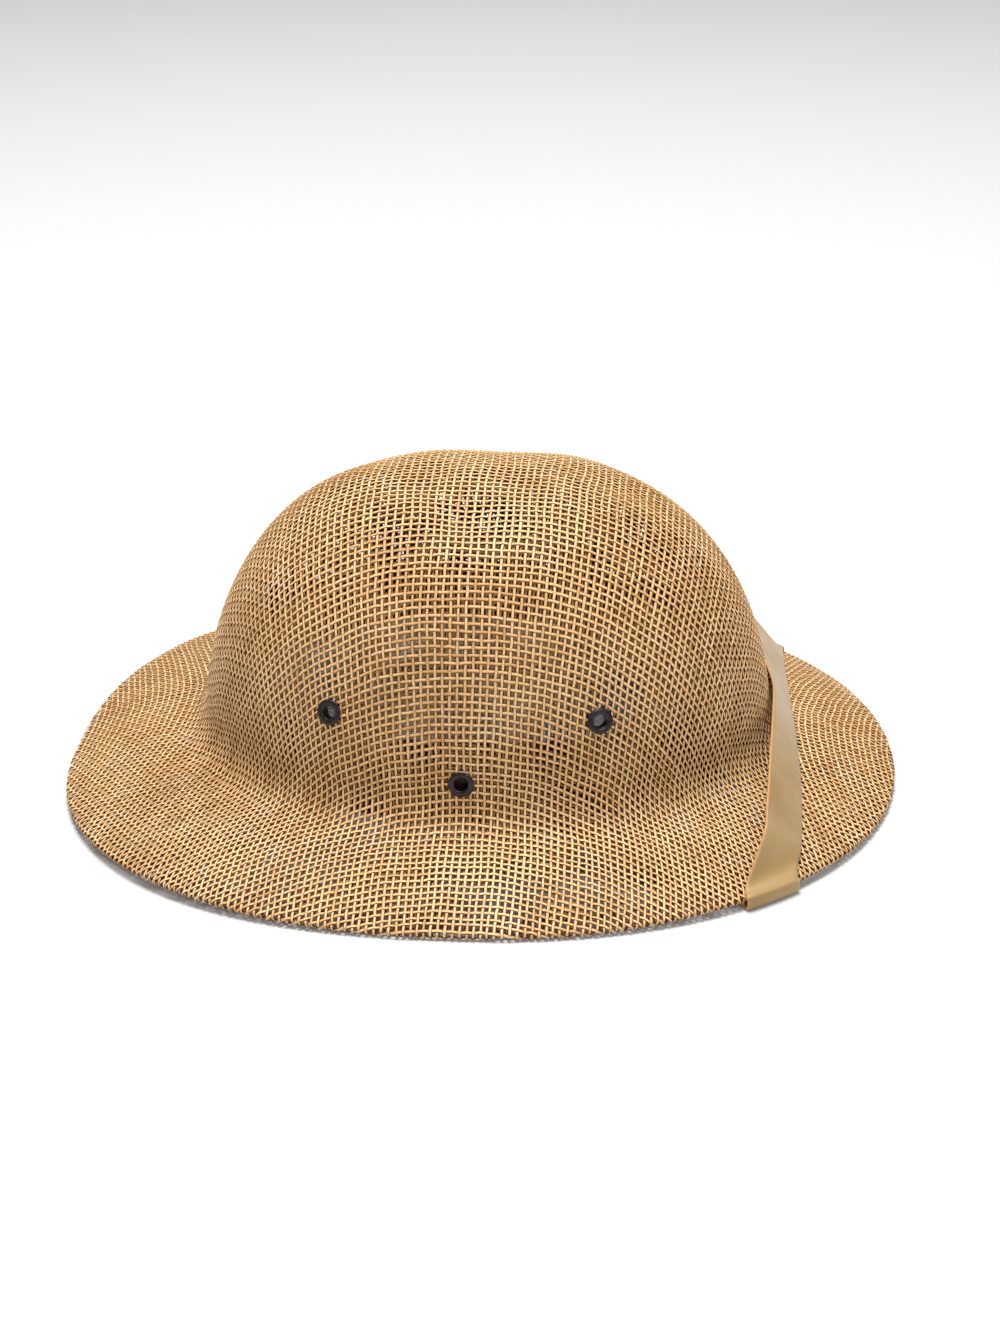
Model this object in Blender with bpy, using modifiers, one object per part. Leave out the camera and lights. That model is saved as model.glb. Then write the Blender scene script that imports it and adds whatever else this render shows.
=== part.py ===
# Pith helmet moulded from straw mesh, with six ventilation eyelets, a sweatband and a chin strap.
# Metres, +Z up. The front of the hat is +X, the wearer's right is -Y, and the brim rests on z = 0.
# A bearing is the angle round the hat, seen from above, from the front towards the wearer's left.
import math

import bmesh
import bpy
from mathutils import Matrix, Vector

# Brim, as seen from above, and the hem that turns down at its edge.
BRIM_LENGTH = 0.333
BRIM_WIDTH = 0.2855
BRIM_FRONT_SQUARENESS = 2.11
BRIM_REAR_SQUARENESS = 2.38
BRIM_BOW = 0.0020
HEM_DEPTH = 0.0028

# Crown, measured where its wall would meet the brim without the flare between them.
HEIGHT = 0.1252
CROWN_FRONT = 0.1155
CROWN_REAR = 0.1110
CROWN_WIDTH = 0.183
CROWN_SQUARENESS = 2.12
SHOULDER_FULLNESS_ALONG = 2.9
SHOULDER_FULLNESS_ACROSS = 2.5
TOP_FULLNESS = 1.89
JUNCTION_HEIGHT = 0.020
FLARE_RISE = 0.013
FLARE_REACH = 0.012
WALL = 0.0026

# How far the hem stands off the floor at each bearing; the same on both sides.
EDGE_LIFT = 0.0026
EDGE_ROWS = (
    # bearing, share of EDGE_LIFT
    (0.0, 0.08),
    (42.0, 0.70),
    (75.0, 0.00),
    (100.0, 0.00),
    (140.0, 1.00),
    (180.0, 0.00),
)

# Soft dents that the crown has taken near its top.
DENT_DEPTH = 0.0022
DENT_ROWS = (
    # bearing, share of the crown's radius, share of DENT_DEPTH, share of CROWN_WIDTH across
    (0.0, 0.50, 0.70, 0.30),
    (-92.0, 0.35, 1.50, 0.16),
    (78.0, 0.36, 0.60, 0.22),
    (47.0, 0.52, -0.35, 0.14),
    (150.0, 0.45, 0.50, 0.20),
    (-146.0, 0.245, 0.40, 0.10),
    (180.0, 0.15, 0.35, 0.10),
    (-8.0, 0.13, 0.30, 0.10),
    (-43.0, 0.25, 0.45, 0.10),
    (-55.0, 0.385, 0.45, 0.11),
)

# Eyelets: one low and two high on each side.
EYELET_FLANGE = 0.0049
EYELET_BORE = 0.0025
EYELET_BARREL = 0.0032
EYELET_FLANGE_THICKNESS = 0.0008
EYELET_UPPER_HEIGHT = 0.057
EYELET_LOWER_HEIGHT = 0.0355
EYELET_SPREAD_DEGREES = 32.7

# Sweatband, a ring of leather inside the foot of the crown.
SWEATBAND_HEIGHT = 0.030
SWEATBAND_THICKNESS = 0.0012
# Shares of the flare: where the band's foot sits, where its curve leaves the crown's, and the
# height up to which it stands off the wall.
BAND_SEAT_SHARE = 0.5
BAND_TURN_SHARE = 0.4
BAND_STAND_SHARE = 0.8

# Chin strap, turned up over the brim.
STRAP_WIDTH = 0.019
STRAP_THICKNESS = 0.0009
STRAP_STANDOFF = 0.0095
STRAP_SKEW = 0.0015
STRAP_CROSSING = 0.124
STRAP_TAIL = 0.022
STRAP_FLAT = 0.006
STRAP_ANCHOR_DEGREES = 69.5
LEAN_ROWS = (
    # share of the way from the front to the brim's edge, lean from upright in degrees
    (0.00, 28.0),
    (0.15, 31.0),
    (0.32, 36.0),
    (0.50, 41.0),
    (0.65, 44.0),
    (0.77, 46.0),
    (0.87, 48.0),
)
HIDDEN_ROWS = (0.12, 0.30, 0.50, 0.70, 0.88)

CLEARANCE = 0.0003
STRAP_CLEARANCE = 0.0005

# Facets.
SEGMENTS = 72
CROWN_RINGS = 14
FLARE_RINGS = 4
BRIM_RINGS = 4
EYELET_SIDES = 16
STRAP_COLUMNS = 4
MERGE = 0.00001

# A place on the wall is (bearing, along): 0 to 1 down the crown, 1 to 2 the flare, 2 to 3 the brim.
FLARE_START = 1.0
BRIM_START = 2.0
EDGE = 3.0


def oval_radius(bearing, half_length, half_width, squareness):
    """Distance from the centre to a rounded oval."""
    across = abs(math.cos(bearing) / half_length) ** squareness
    along = abs(math.sin(bearing) / half_width) ** squareness
    return (across + along) ** (-1 / squareness)


def crown_radius(bearing):
    half_length = CROWN_FRONT if math.cos(bearing) > 0 else CROWN_REAR
    return oval_radius(bearing, half_length, CROWN_WIDTH / 2, CROWN_SQUARENESS)


def brim_radius(bearing):
    squareness = BRIM_FRONT_SQUARENESS if math.cos(bearing) > 0 else BRIM_REAR_SQUARENESS
    return oval_radius(bearing, BRIM_LENGTH / 2, BRIM_WIDTH / 2, squareness)


def smooth(share):
    return share * share * (3 - 2 * share)


def edge_height(bearing):
    """Height of the hem's lower side, read smoothly between the rows of the table."""
    degrees = abs(math.degrees(math.remainder(bearing, 2 * math.pi)))
    for (start, low), (end, high) in zip(EDGE_ROWS, EDGE_ROWS[1:]):
        if degrees <= end:
            share = smooth(max(degrees - start, 0.0) / (end - start))
            return EDGE_LIFT * (low + (high - low) * share)
    return EDGE_LIFT * EDGE_ROWS[-1][1]


def direction(bearing):
    return Vector((math.cos(bearing), math.sin(bearing), 0))


def crown_turn(height):
    """Angle of the crown's profile at a height, where zero is the top and a right angle the foot."""
    share = (height - JUNCTION_HEIGHT) / (HEIGHT - JUNCTION_HEIGHT)
    return math.acos(max(share, 0.0) ** (TOP_FULLNESS / 2))


def dent_depth(point):
    depth = 0.0
    for degrees, radius_share, depth_share, width_share in DENT_ROWS:
        bearing = math.radians(degrees)
        centre = direction(bearing) * crown_radius(bearing) * radius_share
        distance = (point.xy - centre.xy).length / (width_share * CROWN_WIDTH / 2)
        depth += depth_share * DENT_DEPTH * math.exp(-distance * distance)
    return depth


def shoulder_fullness(bearing):
    """Boxier along the hat than across it."""
    along = SHOULDER_FULLNESS_ALONG - SHOULDER_FULLNESS_ACROSS
    return SHOULDER_FULLNESS_ACROSS + along * math.cos(bearing) ** 2


def crown_point(bearing, turn):
    radius = crown_radius(bearing) * math.sin(turn) ** (2 / shoulder_fullness(bearing))
    rise = (HEIGHT - JUNCTION_HEIGHT) * max(math.cos(turn), 0.0) ** (2 / TOP_FULLNESS)
    point = direction(bearing) * radius
    point.z = JUNCTION_HEIGHT + rise
    point.z -= dent_depth(point) * math.cos(turn)
    return point


def brim_point(bearing, share):
    inner = crown_radius(bearing)
    outer = brim_radius(bearing)
    edge = edge_height(bearing) + HEM_DEPTH
    point = direction(bearing) * (inner + (outer - inner) * share)
    point.z = JUNCTION_HEIGHT + (edge - JUNCTION_HEIGHT) * share + BRIM_BOW * 4 * share * (1 - share)
    return point


def wall_point(bearing, along):
    """Outer surface of the hat at a place on its wall."""
    foot_turn = crown_turn(JUNCTION_HEIGHT + FLARE_RISE)
    if along <= FLARE_START:
        return crown_point(bearing, foot_turn * along)
    reach_share = FLARE_REACH / (brim_radius(bearing) - crown_radius(bearing))
    if along >= BRIM_START:
        share = reach_share + (1 - reach_share) * (along - BRIM_START)
        return brim_point(bearing, share)
    start = crown_point(bearing, foot_turn)
    corner = brim_point(bearing, 0.0)
    end = brim_point(bearing, reach_share)
    share = along - FLARE_START
    return start * (1 - share) ** 2 + corner * 2 * share * (1 - share) + end * share ** 2


def wall_normal(bearing, along):
    step = 0.001
    low = min(along + step, EDGE)
    down = wall_point(bearing, low) - wall_point(bearing, low - 2 * step)
    around = wall_point(bearing + step, along) - wall_point(bearing - step, along)
    return down.cross(around).normalized()


def along_at_height(height):
    """Place down the crown, above the flare, that has a height."""
    return crown_turn(height) / crown_turn(JUNCTION_HEIGHT + FLARE_RISE)


def along_at_radius(bearing, radius):
    """Place on the wall that lies a distance out from the centre, found by halving."""
    low = 0.0
    high = EDGE
    for _ in range(40):
        middle = (low + high) / 2
        if wall_point(bearing, middle).xy.length < radius:
            low = middle
        else:
            high = middle
    return (low + high) / 2


def bearings():
    return [2 * math.pi * index / SEGMENTS for index in range(SEGMENTS)]


def make_material(name, colour, roughness, metallic=0.0):
    material = bpy.data.materials.new(name)
    material.use_nodes = True
    shader = material.node_tree.nodes["Principled BSDF"]
    shader.inputs["Base Color"].default_value = (*colour, 1.0)
    shader.inputs["Roughness"].default_value = roughness
    shader.inputs["Metallic"].default_value = metallic
    return material


def make_object(name, builder, collection, material=None):
    """Turn a filled bmesh into a named object."""
    mesh = bpy.data.meshes.new(name)
    builder.to_mesh(mesh)
    builder.free()
    mesh.shade_smooth()
    piece = bpy.data.objects.new(name, mesh)
    collection.objects.link(piece)
    if material:
        mesh.materials.append(material)
    return piece


def add_solidify(piece, thickness, offset):
    solidify = piece.modifiers.new("thickness", "SOLIDIFY")
    solidify.thickness = thickness
    solidify.offset = offset
    solidify.use_even_offset = True
    solidify.use_quality_normals = True
    return solidify


def bridge_rings(builder, rings):
    """Join closed rings of vertices, each with the next, faces out for rings that run downwards."""
    for upper, lower in zip(rings, rings[1:]):
        for index in range(len(upper)):
            after = (index + 1) % len(upper)
            builder.faces.new((upper[index], lower[index], lower[after], upper[after]))


def add_ring(builder, place):
    return [builder.verts.new(place(bearing)) for bearing in bearings()]


def build_shell(collection, cutters, material):
    """Crown and brim: one open surface, thickened inwards, with the eyelet holes cut through."""
    builder = bmesh.new()
    rings = []
    stations = [index / CROWN_RINGS for index in range(1, CROWN_RINGS + 1)]
    stations += [FLARE_START + index / FLARE_RINGS for index in range(1, FLARE_RINGS + 1)]
    stations += [BRIM_START + index / BRIM_RINGS for index in range(1, BRIM_RINGS + 1)]
    for along in stations:
        rings.append(add_ring(builder, lambda bearing: wall_point(bearing, along)))
    rings.append(add_ring(builder, hem_point))
    top = builder.verts.new(wall_point(0.0, 0.0))
    for index in range(SEGMENTS):
        builder.faces.new((top, rings[0][index], rings[0][(index + 1) % SEGMENTS]))
    bridge_rings(builder, rings)
    shell = make_object("shell", builder, collection, material)
    add_solidify(shell, WALL, -1)
    holes = shell.modifiers.new("eyelet_holes", "BOOLEAN")
    holes.operation = "DIFFERENCE"
    holes.solver = "EXACT"
    holes.operand_type = "COLLECTION"
    holes.collection = cutters
    return shell


def hem_point(bearing):
    """Lower corner of the hem, straight under the brim's edge."""
    point = wall_point(bearing, EDGE)
    point.z = edge_height(bearing)
    return point


def eyelet_seats():
    """Name, bearing and place down the crown of each eyelet."""
    seats = []
    for side, sign in (("right", -1), ("left", 1)):
        middle = sign * math.pi / 2
        spread = sign * math.radians(EYELET_SPREAD_DEGREES)
        upper = along_at_height(EYELET_UPPER_HEIGHT)
        lower = along_at_height(EYELET_LOWER_HEIGHT)
        seats.append((f"eyelet_{side}_front", middle - spread, upper))
        seats.append((f"eyelet_{side}_rear", middle + spread, upper))
        seats.append((f"eyelet_{side}_low", middle, lower))
    return seats


def seat_matrix(bearing, along):
    """Frame on the wall with +Z out of the hat."""
    turn = wall_normal(bearing, along).to_track_quat("Z", "Y").to_matrix().to_4x4()
    return Matrix.Translation(wall_point(bearing, along)) @ turn


def flange_lift(bearing, along):
    """How far each flange stands off, outside and inside, to clear the curved wall under it."""
    frame = seat_matrix(bearing, along)
    inverse = frame.inverted()
    outside = 0.0
    inside = 0.0
    radius = wall_point(bearing, along).xy.length
    slope = (wall_point(bearing, along + 0.01) - wall_point(bearing, along - 0.01)).length / 0.02
    for step in range(EYELET_SIDES):
        angle = 2 * math.pi * step / EYELET_SIDES
        near_bearing = bearing + EYELET_FLANGE * math.cos(angle) / radius
        near_along = along + EYELET_FLANGE * math.sin(angle) / slope
        point = wall_point(near_bearing, near_along)
        outside = max(outside, (inverse @ point).z)
        inner = point - wall_normal(near_bearing, near_along) * WALL
        inside = max(inside, -WALL - (inverse @ inner).z)
    return outside + CLEARANCE, inside + CLEARANCE


def build_eyelets(collection, cutters, material):
    """Turned eyelets and the cutters for their holes."""
    for name, bearing, along in eyelet_seats():
        frame = seat_matrix(bearing, along)
        outside, inside = flange_lift(bearing, along)
        profile = (
            (EYELET_BORE, outside + EYELET_FLANGE_THICKNESS * 0.7),
            ((EYELET_BORE + EYELET_FLANGE) / 2, outside + EYELET_FLANGE_THICKNESS),
            (EYELET_FLANGE, outside + EYELET_FLANGE_THICKNESS * 0.4),
            (EYELET_FLANGE, outside),
            (EYELET_BARREL, outside),
            (EYELET_BARREL, -WALL - inside),
            (EYELET_FLANGE, -WALL - inside),
            (EYELET_FLANGE, -WALL - inside - EYELET_FLANGE_THICKNESS),
            (EYELET_BORE, -WALL - inside - EYELET_FLANGE_THICKNESS),
        )
        builder = bmesh.new()
        points = [builder.verts.new((radius, 0, height)) for radius, height in profile]
        for start, end in zip(points, points[1:] + points[:1]):
            builder.edges.new((start, end))
        eyelet = make_object(name, builder, collection, material)
        eyelet.matrix_world = frame
        screw = eyelet.modifiers.new("turned", "SCREW")
        screw.steps = EYELET_SIDES
        screw.render_steps = EYELET_SIDES
        screw.use_merge_vertices = True
        screw.merge_threshold = MERGE

        builder = bmesh.new()
        hole_depth = 4 * (WALL + EYELET_FLANGE_THICKNESS)
        hole_radius = EYELET_BARREL + CLEARANCE
        bmesh.ops.create_cone(
            builder, cap_ends=True, segments=EYELET_SIDES,
            radius1=hole_radius, radius2=hole_radius, depth=hole_depth,
        )
        cutter = make_object(name + "_hole", builder, cutters)
        cutter.matrix_world = frame
        cutter.hide_render = True
        cutter.display_type = "WIRE"


def sweatband_setback():
    """Distance from the outer surface of the wall in to the face of the sweatband."""
    low_lifts = [
        flange_lift(bearing, along)[1]
        for name, bearing, along in eyelet_seats() if name.endswith("low")
    ]
    return WALL + max(low_lifts) + EYELET_FLANGE_THICKNESS + CLEARANCE


def sweatband_rows():
    """Places down the wall and depths behind its surface of the sweatband's rings, top first."""
    setback = sweatband_setback()
    stand = EYELET_LOWER_HEIGHT - EYELET_FLANGE - CLEARANCE
    return (
        (along_at_height(JUNCTION_HEIGHT + SWEATBAND_HEIGHT), setback),
        (along_at_height((JUNCTION_HEIGHT + SWEATBAND_HEIGHT + EYELET_LOWER_HEIGHT) / 2), setback),
        (along_at_height(EYELET_LOWER_HEIGHT), setback),
        (along_at_height(max(stand, JUNCTION_HEIGHT + FLARE_RISE * BAND_STAND_SHARE)), setback),
        (FLARE_START + BAND_SEAT_SHARE, WALL + CLEARANCE),
    )


def behind_wall(bearing, along, depth):
    """Point behind the outer surface; above the flare's start the crown's own curve is used."""
    if FLARE_START < along < FLARE_START + BAND_TURN_SHARE:
        turn = crown_turn(JUNCTION_HEIGHT + FLARE_RISE) * along
        point = crown_point(bearing, min(turn, math.pi / 2))
        return point - direction(bearing) * depth
    return wall_point(bearing, along) - wall_normal(bearing, along) * depth


def build_sweatband(collection, material):
    builder = bmesh.new()
    rings = []
    for along, depth in sweatband_rows():
        rings.append(add_ring(builder, lambda bearing: behind_wall(bearing, along, depth)))
    bridge_rings(builder, rings)
    band = make_object("sweatband", builder, collection, material)
    add_solidify(band, SWEATBAND_THICKNESS, -1)
    return band


def surface_height(point):
    """Height of the outer surface above or below a place in plan."""
    bearing = math.atan2(point.y, point.x)
    return wall_point(bearing, along_at_radius(bearing, point.xy.length)).z


def underside_height(point):
    """Height of the brim's underside at a place in plan, or of the sweatband's foot inside it."""
    bearing = math.atan2(point.y, point.x)
    radius = point.xy.length
    foot_along, foot_depth = sweatband_rows()[-1]
    foot = behind_wall(bearing, foot_along, foot_depth + SWEATBAND_THICKNESS).z
    if radius < crown_radius(bearing) + FLARE_REACH:
        return foot
    along = along_at_radius(bearing, radius)
    normal = wall_normal(bearing, along)
    return min(foot, wall_point(bearing, along).z - WALL / normal.z)


def edge_bearing_at(x):
    """Bearing on the right of the hat where the brim's edge has a given distance forward."""
    low = -math.pi / 2
    high = 0.0
    for _ in range(40):
        middle = (low + high) / 2
        if brim_radius(middle) * math.cos(middle) < x:
            low = middle
        else:
            high = middle
    return (low + high) / 2


def edge_outward(bearing):
    """Plan direction square to the brim's edge."""
    step = 0.001
    along_edge = wall_point(bearing + step, EDGE) - wall_point(bearing - step, EDGE)
    return Vector((along_edge.y, -along_edge.x, 0)).normalized()


def strap_offset():
    return STRAP_CLEARANCE + STRAP_THICKNESS / 2


def strap_shares():
    return [column / (STRAP_COLUMNS - 1) for column in range(STRAP_COLUMNS)]


def strap_crossing(share):
    """Bearing where a column of the strap crosses the brim's edge; 0 is the crown's side of it."""
    return edge_bearing_at(STRAP_CROSSING - STRAP_WIDTH * (1 - share))


def strap_front_rows(skew):
    """Rows from the front of the crown out to the brim's edge, standing on the lower side.

    The strap lies a little aslant: forward of its middle on one side and back on the other.
    """
    front = CROWN_FRONT + STRAP_STANDOFF
    outer_end = wall_point(strap_crossing(1.0), EDGE)
    inner_end = wall_point(strap_crossing(0.0), EDGE)
    rows = []
    for share, lean_degrees in LEAN_ROWS:
        lean = math.radians(lean_degrees)
        aslant = skew * 2.6 * share * (1 - share ** 2)
        forward = front + (STRAP_CROSSING - front) * share ** 3 + aslant
        foot = Vector((forward, outer_end.y * share, 0))
        foot.z = surface_height(foot) + strap_offset()
        upper = foot + STRAP_WIDTH * Vector((-math.sin(lean), 0, math.cos(lean)))
        upper.y += (inner_end.y - outer_end.y) * share ** 4
        rows.append([upper.lerp(foot, column) for column in strap_shares()])
    return rows


def strap_wrap_rows():
    """Rows round the hem: over it, down its outside, under it and up inside it."""
    offset = strap_offset()
    crossings = [strap_crossing(share) for share in strap_shares()]
    flat_row = []
    for bearing in crossings:
        point = wall_point(bearing, EDGE) + Vector((0, STRAP_FLAT, 0))
        point.z = surface_height(point) + offset
        flat_row.append(point)
    rows = [flat_row]
    for outward, level in (
        (0.0, HEM_DEPTH + offset * 1.2),
        (offset, HEM_DEPTH + offset * 0.2),
        (offset, 0.0),
        (offset * 0.2, -offset),
        (-WALL - offset, -offset),
    ):
        row = []
        for bearing in crossings:
            point = wall_point(bearing, EDGE) + edge_outward(bearing) * outward
            point.z = edge_height(bearing) + level
            row.append(point)
        rows.append(row)
    return rows


def strap_tail_place(share, rise):
    """Point on the sweatband's inner face, or under its foot where the rise is negative."""
    foot_along, foot_depth = sweatband_rows()[-1]
    setback = sweatband_setback()
    anchor = -math.radians(STRAP_ANCHOR_DEGREES)
    half_angle = STRAP_WIDTH / 2 / crown_radius(anchor)
    bearing = anchor + (2 * share - 1) * half_angle
    inner = SWEATBAND_THICKNESS + strap_offset()
    foot = behind_wall(bearing, foot_along, foot_depth + inner)
    level = foot.z + rise
    lowest_stand = JUNCTION_HEIGHT + FLARE_RISE
    point = behind_wall(bearing, along_at_height(max(level, lowest_stand)), setback + inner)
    point.z = level
    return point


def strap_tail_rows():
    """Rows up the inside of the sweatband, where the strap is stitched."""
    steps = 3
    return [
        [strap_tail_place(share, STRAP_TAIL * step / steps) for share in strap_shares()]
        for step in range(1, steps + 1)
    ]


def strap_hidden_rows(wrap_end):
    """Rows under the brim, straight in plan from the hem to the foot of the sweatband."""
    under_foot = -2 * strap_offset()
    goal = [strap_tail_place(share, under_foot) for share in strap_shares()]
    rows = []
    for share in HIDDEN_ROWS:
        row = []
        for start, end in zip(wrap_end, goal):
            point = start.lerp(end, share)
            point.z = min(point.z, underside_height(point) - strap_offset())
            row.append(point)
        rows.append(row)
    rows.append(goal)
    return rows


def strap_half_rows(skew):
    """Rows of one half, from the middle of the front to the tail inside the sweatband."""
    half = strap_front_rows(skew) + strap_wrap_rows()
    half += strap_hidden_rows(half[-1])
    half += strap_tail_rows()
    return half


def build_strap(collection, material):
    """A flat ribbon from one side of the sweatband to the other, over the front of the brim."""
    half = strap_half_rows(STRAP_SKEW)
    other = strap_half_rows(-STRAP_SKEW)
    mirrored = [[Vector((point.x, -point.y, point.z)) for point in row] for row in other[:0:-1]]
    builder = bmesh.new()
    rows = [[builder.verts.new(point) for point in row] for row in mirrored + half]
    for before, after in zip(rows, rows[1:]):
        for column in range(STRAP_COLUMNS - 1):
            builder.faces.new((
                before[column], after[column], after[column + 1], before[column + 1],
            ))
    strap = make_object("chin_strap", builder, collection, material)
    add_solidify(strap, STRAP_THICKNESS, 0)
    return strap


def main():
    for piece in list(bpy.data.objects):
        bpy.data.objects.remove(piece, do_unlink=True)
    parts = bpy.data.collections.new("pith_helmet")
    cutters = bpy.data.collections.new("pith_helmet_cutters")
    bpy.context.scene.collection.children.link(parts)
    bpy.context.scene.collection.children.link(cutters)
    straw = make_material("straw", (0.58, 0.36, 0.15), 0.65)
    enamel = make_material("brown_enamel", (0.045, 0.022, 0.020), 0.35, 0.6)
    leather = make_material("brown_leather", (0.110, 0.050, 0.026), 0.55)
    satin = make_material("khaki_satin", (0.55, 0.41, 0.20), 0.45)
    build_eyelets(parts, cutters, enamel)
    build_shell(parts, cutters, straw)
    build_sweatband(parts, leather)
    build_strap(parts, satin)


main()
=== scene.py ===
import math

import bmesh
import bpy
import numpy as np
from mathutils import Matrix, Vector


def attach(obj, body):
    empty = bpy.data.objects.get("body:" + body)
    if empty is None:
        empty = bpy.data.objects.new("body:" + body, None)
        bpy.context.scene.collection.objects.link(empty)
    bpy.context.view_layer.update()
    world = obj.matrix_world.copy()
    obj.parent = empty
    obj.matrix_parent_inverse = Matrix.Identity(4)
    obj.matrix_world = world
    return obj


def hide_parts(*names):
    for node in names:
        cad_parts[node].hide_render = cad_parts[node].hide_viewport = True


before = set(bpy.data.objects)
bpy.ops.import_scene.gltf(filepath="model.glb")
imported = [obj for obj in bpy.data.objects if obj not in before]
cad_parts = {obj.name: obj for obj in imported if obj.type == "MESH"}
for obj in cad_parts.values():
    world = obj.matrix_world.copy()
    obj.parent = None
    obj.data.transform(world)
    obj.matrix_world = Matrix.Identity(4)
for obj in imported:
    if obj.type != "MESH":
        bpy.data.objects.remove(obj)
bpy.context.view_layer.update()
print("hat frame loaded")

# The moulded form that every piece follows, as in the solid model.
hatForm = {
    "brimLength": 0.333,
    "brimWidth": 0.2855,
    "brimFrontSquareness": 2.11,
    "brimRearSquareness": 2.38,
    "brimBow": 0.0020,
    "hemDepth": 0.0028,
    "height": 0.1252,
    "crownFront": 0.1155,
    "crownRear": 0.1110,
    "crownWidth": 0.183,
    "crownSquareness": 2.12,
    "shoulderFullnessAlong": 2.9,
    "shoulderFullnessAcross": 2.5,
    "topFullness": 1.89,
    "junctionHeight": 0.020,
    "flareRise": 0.013,
    "flareReach": 0.012,
    "wall": 0.0026,
    "edgeLift": 0.0026,
    "edgeRows": ((0, 0.08), (42, 0.70), (75, 0.00), (100, 0.00), (140, 1.00), (180, 0.00)),
    "dentDepth": 0.0022,
    "dentRows": (
        # bearing, share of the crown's radius, share of the depth, share of the crown's width across
        (0, 0.50, 0.70, 0.30),
        (-92, 0.35, 1.50, 0.16),
        (78, 0.36, 0.60, 0.22),
        (47, 0.52, -0.35, 0.14),
        (150, 0.45, 0.50, 0.20),
        (-146, 0.245, 0.40, 0.10),
        (180, 0.15, 0.35, 0.10),
        (-8, 0.13, 0.30, 0.10),
        (-43, 0.25, 0.45, 0.10),
        (-55, 0.385, 0.45, 0.11),
    ),
}


def ovalRadius(bearing, halfLength, halfWidth, squareness):
    across = np.abs(np.cos(bearing) / halfLength) ** squareness
    along = np.abs(np.sin(bearing) / halfWidth) ** squareness
    return (across + along) ** (-1 / squareness)


def crownRadius(bearing):
    halfLength = np.where(np.cos(bearing) > 0, hatForm["crownFront"], hatForm["crownRear"])
    return ovalRadius(bearing, halfLength, hatForm["crownWidth"] / 2, hatForm["crownSquareness"])


def brimRadius(bearing):
    isFront = np.cos(bearing) > 0
    squareness = np.where(isFront, hatForm["brimFrontSquareness"], hatForm["brimRearSquareness"])
    return ovalRadius(bearing, hatForm["brimLength"] / 2, hatForm["brimWidth"] / 2, squareness)


def smoothStep(share):
    share = np.clip(share, 0, 1)
    return share * share * (3 - 2 * share)


# Height of the hem's lower side.
def edgeHeight(bearing):
    turned = np.degrees(np.abs((bearing + np.pi) % (2 * np.pi) - np.pi))
    rows = hatForm["edgeRows"]
    share = np.full(np.shape(turned), rows[0][1], dtype=float)
    for (start, low), (end, high) in zip(rows, rows[1:]):
        rise = low + (high - low) * smoothStep((turned - start) / (end - start))
        share = np.where(turned >= start, rise, share)
    return hatForm["edgeLift"] * share


def crownTurn(height):
    share = (height - hatForm["junctionHeight"]) / (hatForm["height"] - hatForm["junctionHeight"])
    return math.acos(max(share, 0.0) ** (hatForm["topFullness"] / 2))


def crownPoint(bearing, turn):
    rise = hatForm["height"] - hatForm["junctionHeight"]
    across = hatForm["shoulderFullnessAcross"]
    fullness = across + (hatForm["shoulderFullnessAlong"] - across) * np.cos(bearing) ** 2
    radius = crownRadius(bearing) * np.sin(turn) ** (2 / fullness)
    x = np.cos(bearing) * radius
    y = np.sin(bearing) * radius
    upright = np.maximum(np.cos(turn), 0)
    z = hatForm["junctionHeight"] + rise * upright ** (2 / hatForm["topFullness"])
    for degrees, radiusShare, depthShare, widthShare in hatForm["dentRows"]:
        at = np.float64(math.radians(degrees))
        away = crownRadius(at) * radiusShare
        width = widthShare * hatForm["crownWidth"] / 2
        distance = ((x - np.cos(at) * away) ** 2 + (y - np.sin(at) * away) ** 2) / width ** 2
        z = z - upright * depthShare * hatForm["dentDepth"] * np.exp(-distance)
    return np.stack([x, y, z], axis=-1)


def brimPoint(bearing, share):
    inner = crownRadius(bearing)
    radius = inner + (brimRadius(bearing) - inner) * share
    junction = hatForm["junctionHeight"]
    edge = edgeHeight(bearing) + hatForm["hemDepth"]
    z = junction + (edge - junction) * share + hatForm["brimBow"] * 4 * share * (1 - share)
    return np.stack([np.cos(bearing) * radius, np.sin(bearing) * radius, z], axis=-1)


# Outer surface of the hat. The place goes from 0 to 1 down the crown, to 2 round the flare and
# to 3 at the brim's edge, and may run on past it.
def wallPoint(bearing, place):
    bearing, place = np.broadcast_arrays(np.asarray(bearing, float), np.asarray(place, float))
    footTurn = crownTurn(hatForm["junctionHeight"] + hatForm["flareRise"])
    reach = hatForm["flareReach"] / (brimRadius(bearing) - crownRadius(bearing))
    onCrown = crownPoint(bearing, footTurn * np.clip(place, 0, 1))
    onBrim = brimPoint(bearing, reach + (1 - reach) * (place - 2))
    share = np.clip(place - 1, 0, 1)[..., None]
    start = crownPoint(bearing, np.full(bearing.shape, footTurn))
    corner = brimPoint(bearing, np.zeros(bearing.shape))
    end = brimPoint(bearing, reach)
    onFlare = start * (1 - share) ** 2 + corner * 2 * share * (1 - share) + end * share ** 2
    found = np.where((place <= 1)[..., None], onCrown, onFlare)
    return np.where((place >= 2)[..., None], onBrim, found)


def unit(vectors):
    return vectors / np.maximum(np.linalg.norm(vectors, axis=-1, keepdims=True), 1e-12)


def wallNormal(bearing, place):
    step = 0.001
    low = np.maximum(place, 2 * step)
    down = wallPoint(bearing, low + step) - wallPoint(bearing, low - step)
    around = wallPoint(bearing + step, low) - wallPoint(bearing - step, low)
    return unit(np.cross(down, around))


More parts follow.
